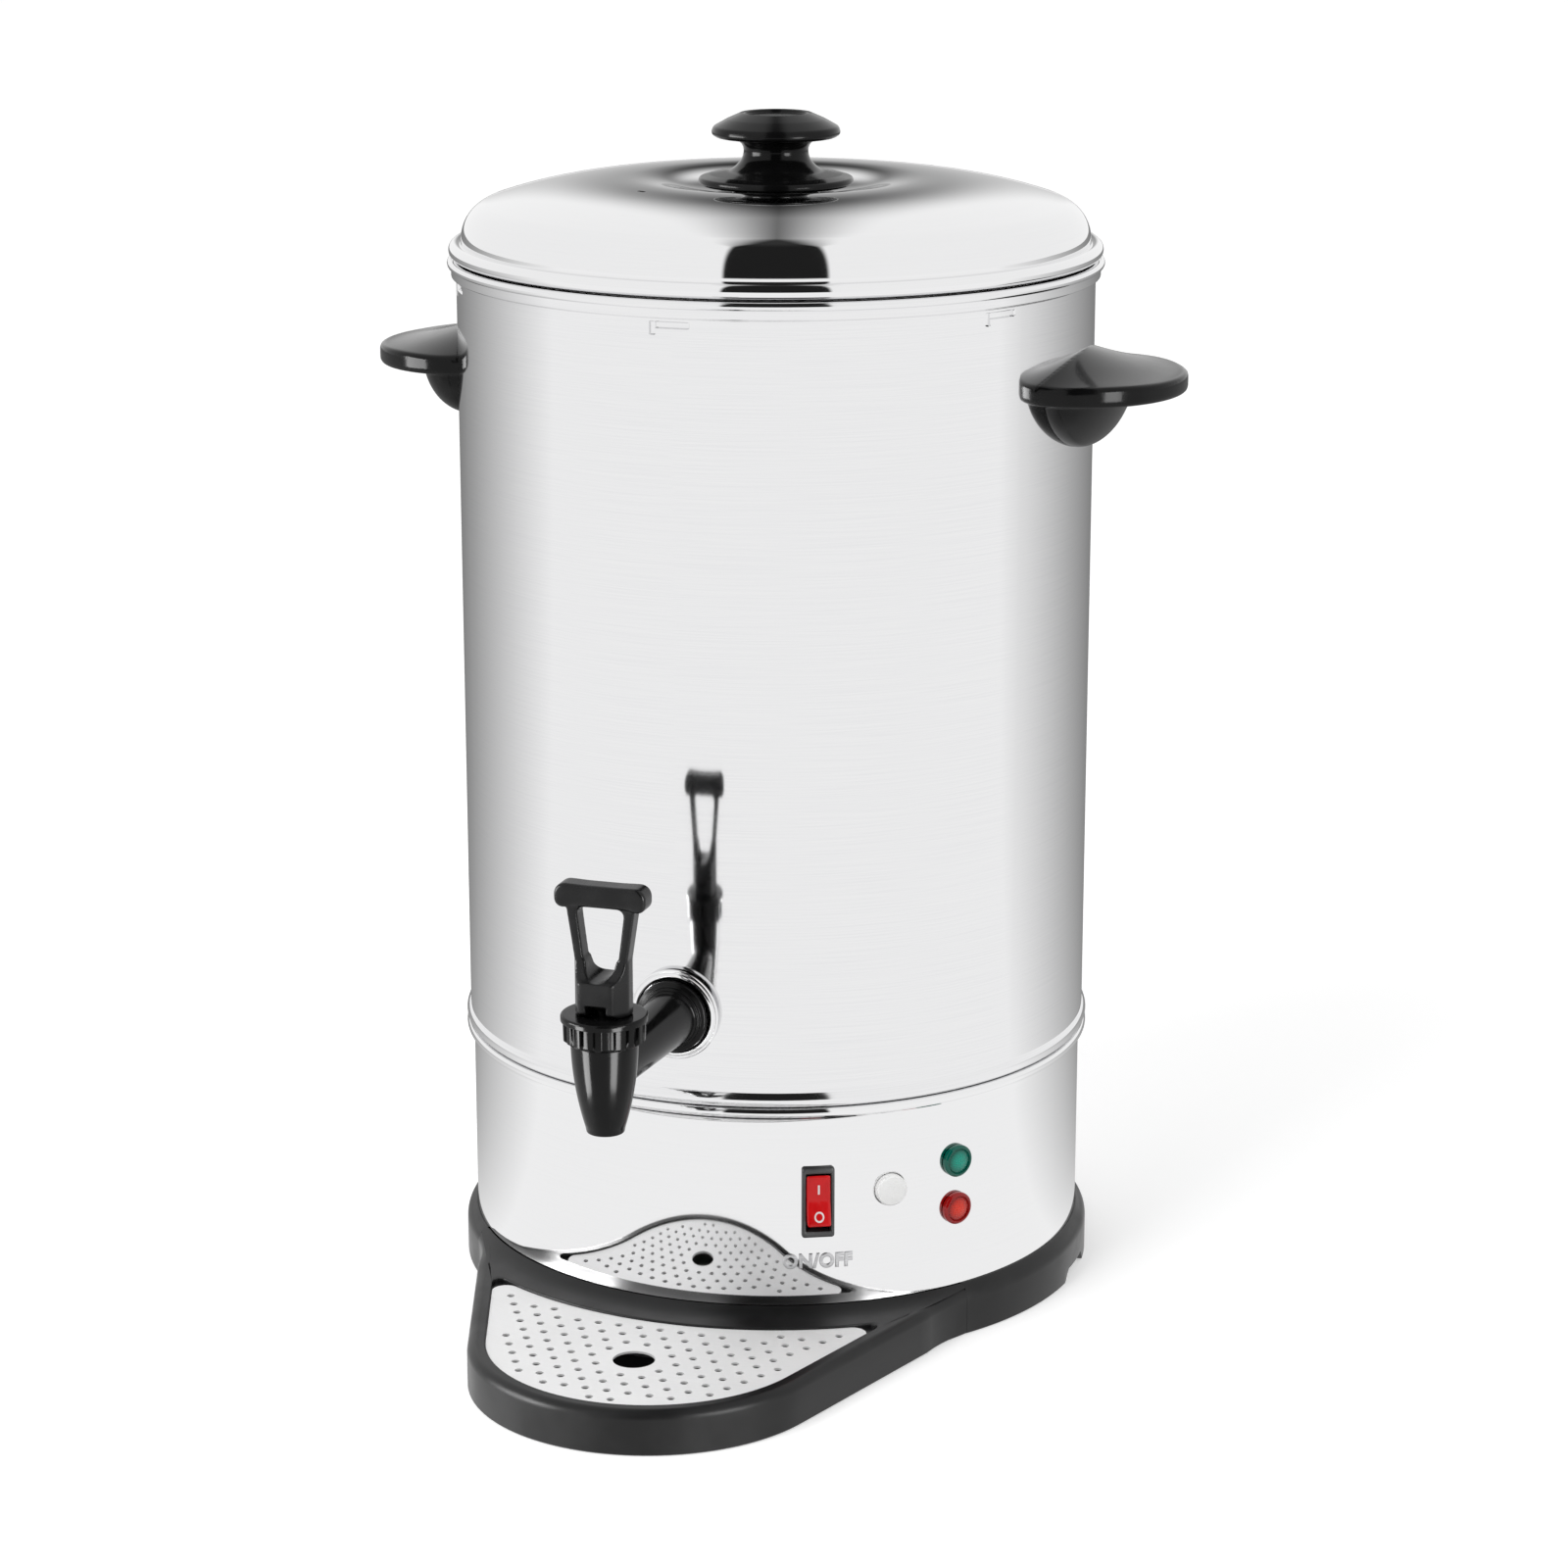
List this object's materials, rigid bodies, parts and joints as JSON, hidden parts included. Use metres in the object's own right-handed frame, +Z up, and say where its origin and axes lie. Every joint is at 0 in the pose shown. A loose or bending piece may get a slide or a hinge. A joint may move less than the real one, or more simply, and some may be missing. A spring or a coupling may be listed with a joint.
{
  "type": "hot water urn",
  "caption": "Hot water urn: a steel tank with a twist-lock lid and side grips, a lever tap, a switch and lamps on a bright skirt, and a drip tray with a lift-out plate.",
  "frame": {"origin": "on the tank's axis, level with the counter that the base ring rests on", "axes": "+Z up along the tank's axis, -Y towards the user (the tap and drip tray), +X to the user's right, where the switch is"},
  "size_m": [0.368, 0.4003, 0.5215],
  "materials": {
    "satin_steel": "satin polish",
    "polished_steel": "mirror polish",
    "black_gloss": "glossy moulded plastic",
    "black_satin": "satin moulded plastic",
    "white_plastic": "glossy moulded plastic",
    "red_plastic": "glossy translucent plastic",
    "red_lens": "faceted translucent lens",
    "green_lens": "faceted translucent lens",
    "silicone": "food grade silicone",
    "black_rubber": "matt rubber",
    "aluminium": "plain",
    "element_steel": "heat tinted"
  },
  "bodies": {
    "urn": {"tank": "satin_steel", "skirt": "polished_steel", "base_ring": "black_satin", "bottom_plate": "satin_steel", "rubber_pads": "black_rubber", "plate_screws": "satin_steel", "tie_rod": "satin_steel", "tie_nut": "satin_steel", "heat_spreader": "aluminium", "boil_element": "element_steel", "warm_element": "element_steel", "boil_thermostat": "aluminium", "warm_thermostat": "aluminium", "dry_cutout": "aluminium", "terminal_block": "white_plastic", "handle_right": "black_gloss", "handle_left": "black_gloss", "handle_bolts": "satin_steel", "tap_body": "black_gloss", "tap_washer": "polished_steel", "tap_outer_seal": "silicone", "tap_inner_seal": "silicone", "tap_nut": "black_satin", "tap_bonnet": "black_gloss", "rocker_housing": "black_gloss", "reboil_switch": "white_plastic", "green_lens": "green_lens", "green_lamp_body": "white_plastic", "red_lens": "red_lens", "red_lamp_body": "white_plastic", "cord_gland": "black_satin"},
    "lid_screw": {"knob_screw": "polished_steel"},
    "lid": {"lid_shell": "polished_steel", "lid_lock_ring": "satin_steel", "knob": "black_gloss", "knob_seat": "black_gloss"},
    "stem": {"valve_stem": "black_gloss", "seat_cup": "silicone"},
    "lever": {"tap_lever": "black_gloss", "lever_pin": "element_steel"},
    "rocker": {"rocker": "red_plastic"},
    "reboil_button": {"reboil_button": "white_plastic"},
    "tray": {"drip_tray": "black_satin"},
    "plate": {"drip_plate": "satin_steel"}
  },
  "joints": [
    {"name": "lid_lift", "type": "slide", "parent": "urn", "child": "lid_screw", "axis": [0, 0, 1], "range_m": [0, 0.05]},
    {"name": "lid_twist", "type": "hinge", "parent": "lid_screw", "child": "lid", "pos_m": [0, 0, 0.46], "axis": [0, 0, 1], "range_deg": [-7, 0]},
    {"name": "stem_lift", "type": "slide", "parent": "urn", "child": "stem", "axis": [0, 0, 1], "range_m": [0, 0.0036]},
    {"name": "lever_tilt", "type": "hinge", "parent": "stem", "child": "lever", "pos_m": [0, -0.229, 0.19], "axis": [1, 0, 0], "range_deg": [0, 38], "stiffness_Nm_per_rad": 0.1, "springref_deg": -17.19},
    {"name": "rocker_tilt", "type": "hinge", "parent": "urn", "child": "rocker", "pos_m": [0.05541, -0.11829, 0.0699], "axis": [0.9056, 0.4242, 0], "range_deg": [0, 15]},
    {"name": "reboil_press", "type": "slide", "parent": "urn", "child": "reboil_button", "axis": [-0.6225, 0.7826, 0], "range_m": [0, 0.0025], "stiffness_N_per_m": 300, "springref_m": -0.002},
    {"name": "tray_slide", "type": "slide", "parent": "urn", "child": "tray", "axis": [0, -1, 0], "range_m": [0, 0.06]},
    {"name": "plate_lift", "type": "slide", "parent": "tray", "child": "plate", "axis": [0, 0, 1], "range_m": [0, 0.03]}
  ],
  "couplings": [
    {"joint": "stem_lift", "follows": "lever_tilt", "m_per_rad": 0.00528}
  ]
}
